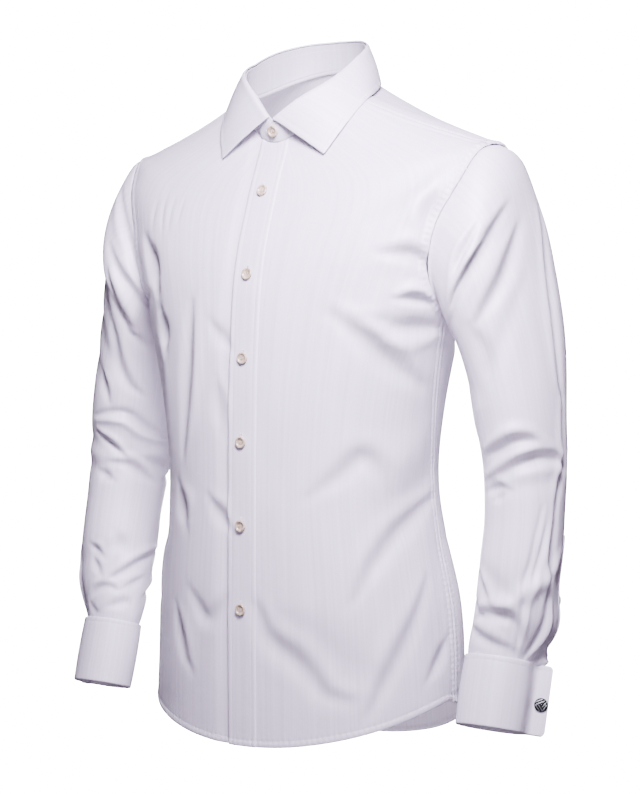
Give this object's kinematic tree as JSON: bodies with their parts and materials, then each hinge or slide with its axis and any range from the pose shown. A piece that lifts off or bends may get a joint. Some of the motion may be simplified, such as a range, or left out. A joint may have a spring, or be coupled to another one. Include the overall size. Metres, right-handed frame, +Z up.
{
  "type": "long sleeve dress shirt",
  "caption": "Slim long sleeve dress shirt in its hollow worn form, buttoned, with a turned-down collar, a front band, a shirt-tail hem and turned-back cuffs held by cufflinks.",
  "frame": {"origin": "middle of the neck at the height of the neckline's shoulder points, where the wearer carries the shirt", "axes": "+Z up, +X the wearer's left, -Y the front; the collar is above the origin and the hem below it"},
  "size_m": [0.601, 0.2481, 0.7737],
  "materials": {
    "shirt_cotton": "smooth white sateen cotton with a soft sheen",
    "pearl_button": "polished ivory pearl",
    "gunmetal_link": "dark polished metal with a woven relief"
  },
  "bodies": {
    "root": {"back": "shirt_cotton", "yoke": "shirt_cotton", "front_left": "shirt_cotton", "front_right": "shirt_cotton", "placket": "shirt_cotton", "collar_stand": "shirt_cotton", "collar_leaf": "shirt_cotton", "sleeve_left": "shirt_cotton", "sleeve_right": "shirt_cotton", "sleeve_placket_left": "shirt_cotton", "sleeve_placket_right": "shirt_cotton", "cuff_left": "shirt_cotton", "cuff_right": "shirt_cotton", "button_collar": "pearl_button", "button_front_1": "pearl_button", "button_front_2": "pearl_button", "button_front_3": "pearl_button", "button_front_4": "pearl_button", "button_front_5": "pearl_button", "button_front_6": "pearl_button", "button_sleeve_left": "pearl_button", "button_sleeve_right": "pearl_button", "cufflink_left": "gunmetal_link", "cufflink_right": "gunmetal_link"}
  },
  "joints": []
}
